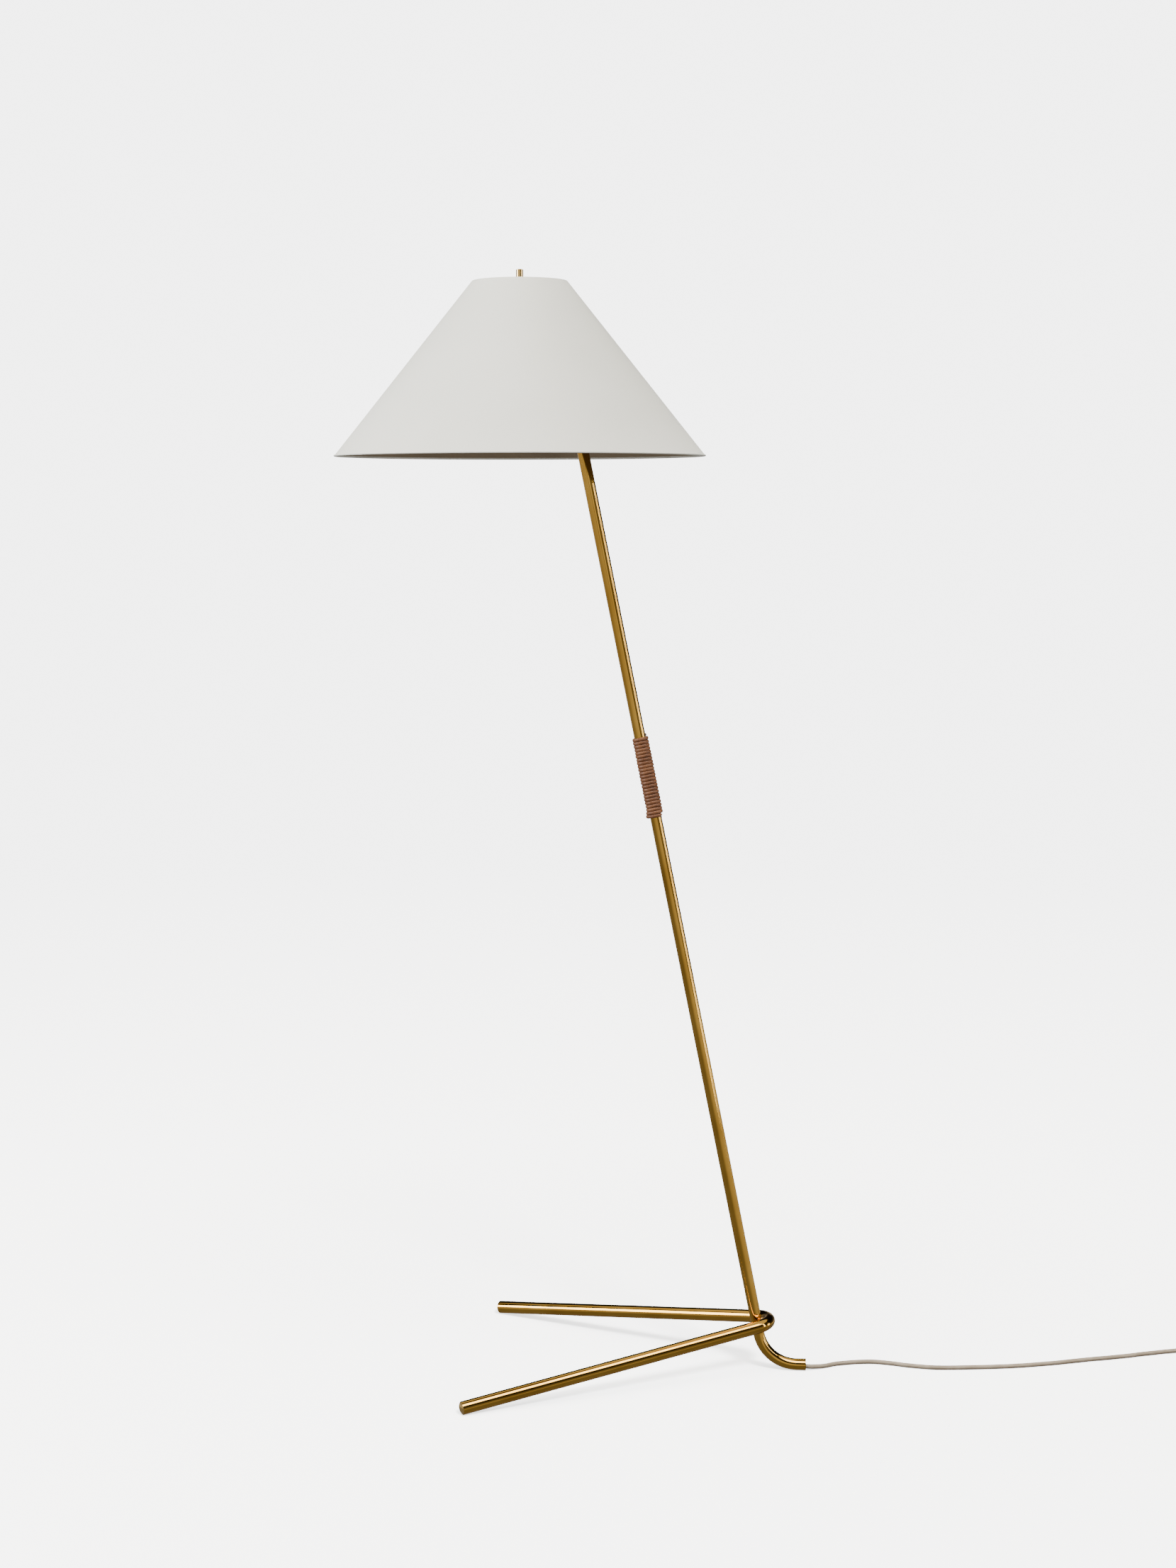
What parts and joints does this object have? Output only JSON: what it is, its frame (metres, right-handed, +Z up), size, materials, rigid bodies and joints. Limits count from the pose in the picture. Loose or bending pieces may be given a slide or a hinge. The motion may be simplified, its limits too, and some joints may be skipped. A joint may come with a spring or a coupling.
{
  "type": "tripod floor lamp",
  "caption": "Floor lamp with a leaning brass stem, a hairpin leg wrapped round its foot, a leather-laced grip and a tilting white cone shade.",
  "frame": {"origin": "on the floor, in the middle of the lamp's own box without its mains cord", "axes": "+Z up, +X from the shade towards the tail of the stem where the cord leaves, Y=0 the plane of symmetry"},
  "size_m": [1.334, 0.49, 1.4734],
  "materials": {
    "brass": "polished, lightly lacquered",
    "braze": "filed smooth",
    "bright_brass": "polished",
    "leather": "waxed lace",
    "rubber": "matt",
    "fibre": "pressed fibre",
    "cord": "smooth sheath",
    "black_plastic": "satin",
    "ceramic": "glazed porcelain",
    "nickel": "nickel plated",
    "bulb_glass": "clear",
    "filament": "filament supports",
    "white_shade": "matt white coating",
    "button": "satin",
    "ivory": "moulded"
  },
  "bodies": {
    "stand": {"stem_tube": "brass", "leg_hairpin": "brass", "braze_fillet": "braze", "foot_plug_front": "bright_brass", "foot_plug_rear": "bright_brass", "grip_lace": "leather", "tail_bush": "rubber", "stem_flex": "cord", "exit_grommet": "rubber", "fork": "brass", "fork_pin": "bright_brass", "hinge_bolt": "bright_brass", "friction_washers": "fibre", "cord_run": "cord", "switch_base": "black_plastic", "switch_cover": "black_plastic", "switch_reliefs": "rubber", "switch_block": "ivory", "switch_screws": "nickel", "cord_link": "cord", "cord_coil": "cord", "cord_tie": "black_plastic", "cord_end": "cord", "plug_body": "black_plastic", "plug_pins": "nickel", "switch_spring": "nickel", "head_lead": "cord"},
    "head": {"carrier_arm": "brass", "nipple": "bright_brass", "nipple_nut": "bright_brass", "harp_saddle": "brass", "holder_cup": "black_plastic", "holder_sleeve": "black_plastic", "holder_insulator": "ceramic", "holder_contact": "bright_brass", "screw_shell": "bright_brass", "harp_wires": "bright_brass", "harp_stud": "bright_brass", "spider": "bright_brass", "rim_ring": "white_shade", "shade": "white_shade", "holder_lead": "cord"},
    "bulb": {"bulb_cap": "nickel", "bulb_glass": "bulb_glass", "bulb_filament": "filament"},
    "finial": {"finial": "bright_brass"},
    "clamp_knob": {"clamp_knob": "bright_brass"},
    "switch_button": {"switch_button": "button"}
  },
  "joints": [
    {"name": "head_tilt", "type": "hinge", "parent": "stand", "child": "head", "pos_m": [0.00222, 0, 1.28724], "axis": [0, 1, 0], "range_deg": [-25, 20], "deforming": ["head_lead"]},
    {"name": "clamp_turn", "type": "hinge", "parent": "stand", "child": "clamp_knob", "pos_m": [0.00222, -0.0149, 1.28724], "axis": [0, 1, 0], "range_deg": [-90, 90]},
    {"name": "bulb_turn", "type": "hinge", "parent": "head", "child": "bulb", "pos_m": [-0.07078, 0, 1.33724], "axis": [0, 0, 1], "continuous": true},
    {"name": "finial_turn", "type": "hinge", "parent": "head", "child": "finial", "pos_m": [-0.07078, 0, 1.45724], "axis": [0, 0, 1], "continuous": true},
    {"name": "button_press", "type": "slide", "parent": "stand", "child": "switch_button", "axis": [0, 0, -1], "range_m": [0, 0.003], "stiffness_N_per_m": 800, "deforming": ["switch_spring"]}
  ]
}
